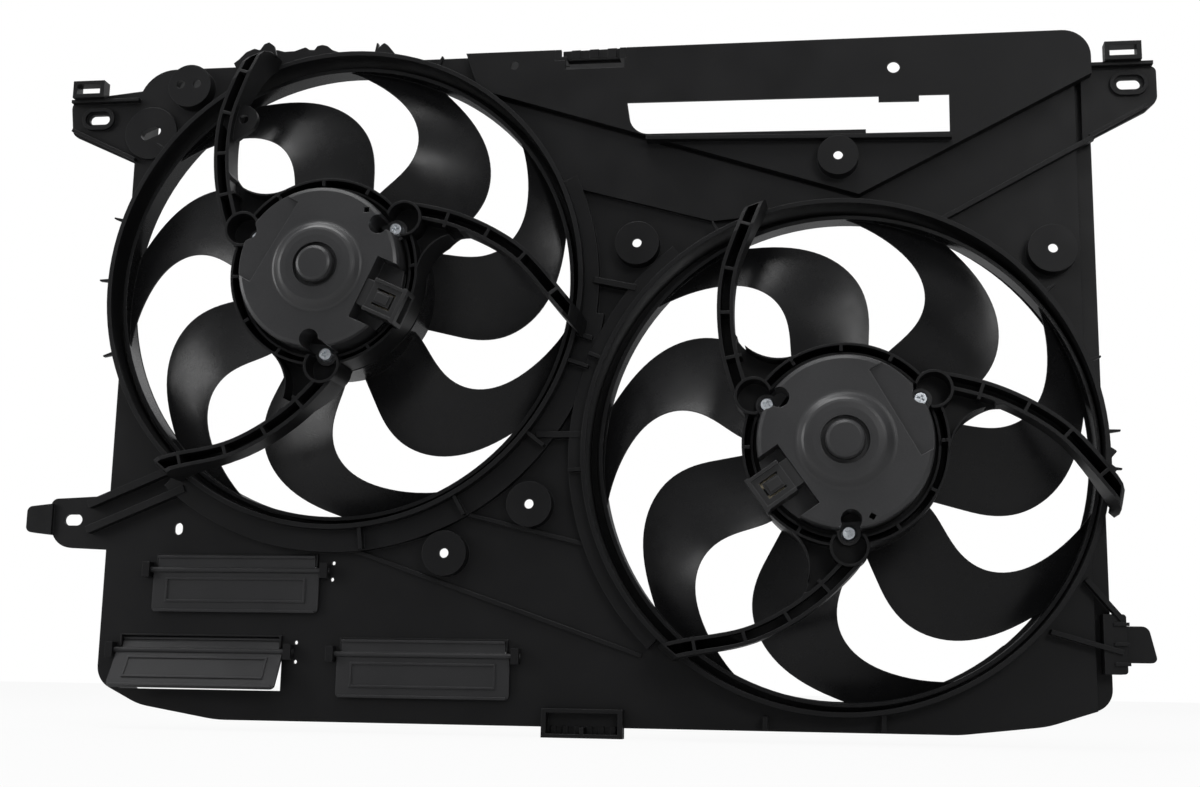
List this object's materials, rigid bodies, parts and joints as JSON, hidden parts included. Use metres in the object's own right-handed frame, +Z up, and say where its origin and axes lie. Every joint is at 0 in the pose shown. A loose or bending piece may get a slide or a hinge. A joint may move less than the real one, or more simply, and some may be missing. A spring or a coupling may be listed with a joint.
{
  "type": "radiator cooling fan",
  "caption": "Flat radiator shroud with two motor-driven seven-blade band fans on curved strut carriers and hinged ram air flaps.",
  "frame": {"origin": "midway between the two upper ear slots, on the ears' engine side face", "axes": "+X along the width to the right as seen from the engine, +Y towards the radiator, +Z up; the motors face -Y"},
  "size_m": [0.7495, 0.103, 0.4651],
  "materials": {
    "shroud_plastic": "fine satin moulded black",
    "fan_plastic": "satin moulded black",
    "flap_plastic": "satin black",
    "motor_black": "satin black coat",
    "magnet": "dark ferrite",
    "steel": "ground",
    "core_steel": "stacked laminations",
    "copper": "enamelled copper wire",
    "brush_card": "brown board",
    "carbon": "pressed carbon",
    "connector_plastic": "satin black",
    "terminal": "tin plated",
    "zinc_steel": "zinc plated"
  },
  "bodies": {
    "shroud": {"ear_wire_clips": "shroud_plastic", "flap_hinge_clips": "shroud_plastic", "left_brush_card": "brush_card", "left_brush_springs": "steel", "left_brushes": "carbon", "left_connector_terminals": "terminal", "left_fan_barrel": "shroud_plastic", "left_front_bearing": "steel", "left_motor_can": "motor_black", "left_motor_carrier": "shroud_plastic", "left_motor_connector": "connector_plastic", "left_motor_magnets": "magnet", "left_motor_rear_cover": "motor_black", "left_motor_screws": "zinc_steel", "left_rear_bearing": "steel", "lower_bracket": "shroud_plastic", "right_brush_card": "brush_card", "right_brush_springs": "steel", "right_brushes": "carbon", "right_connector_terminals": "terminal", "right_fan_barrel": "shroud_plastic", "right_front_bearing": "steel", "right_motor_can": "motor_black", "right_motor_carrier": "shroud_plastic", "right_motor_connector": "connector_plastic", "right_motor_magnets": "magnet", "right_motor_rear_cover": "motor_black", "right_motor_screws": "zinc_steel", "right_rear_bearing": "steel", "shroud_panel": "shroud_plastic", "upper_edge_clip": "shroud_plastic"},
    "left_fan": {"left_fan_wheel": "fan_plastic", "left_motor_shaft": "steel", "left_armature_core": "core_steel", "left_armature_windings": "copper", "left_commutator": "copper", "left_fan_nut": "zinc_steel"},
    "right_fan": {"right_fan_wheel": "fan_plastic", "right_motor_shaft": "steel", "right_armature_core": "core_steel", "right_armature_windings": "copper", "right_commutator": "copper", "right_fan_nut": "zinc_steel"},
    "flap_upper": {"ram_air_flap_upper": "flap_plastic"},
    "flap_lower_left": {"ram_air_flap_lower_left": "flap_plastic"},
    "flap_lower_right": {"ram_air_flap_lower_right": "flap_plastic"}
  },
  "joints": [
    {"name": "left_fan_spin", "type": "hinge", "parent": "shroud", "child": "left_fan", "pos_m": [-0.1649, -0.014, -0.1277], "axis": [0, 1, 0], "continuous": true},
    {"name": "right_fan_spin", "type": "hinge", "parent": "shroud", "child": "right_fan", "pos_m": [0.1677, -0.014, -0.242], "axis": [0, 1, 0], "continuous": true},
    {"name": "ram_flap_upper_swing", "type": "hinge", "parent": "shroud", "child": "flap_upper", "pos_m": [-0.2303, -0.0028, -0.3174], "axis": [-1, 0, 0], "range_deg": [0, 65]},
    {"name": "ram_flap_lower_left_swing", "type": "hinge", "parent": "shroud", "child": "flap_lower_left", "pos_m": [-0.2523, -0.0028, -0.3702], "axis": [-1, 0, 0], "range_deg": [-32, 33]},
    {"name": "ram_flap_lower_right_swing", "type": "hinge", "parent": "shroud", "child": "flap_lower_right", "pos_m": [-0.1018, -0.0028, -0.371], "axis": [-1, 0, 0], "range_deg": [0, 65]}
  ]
}
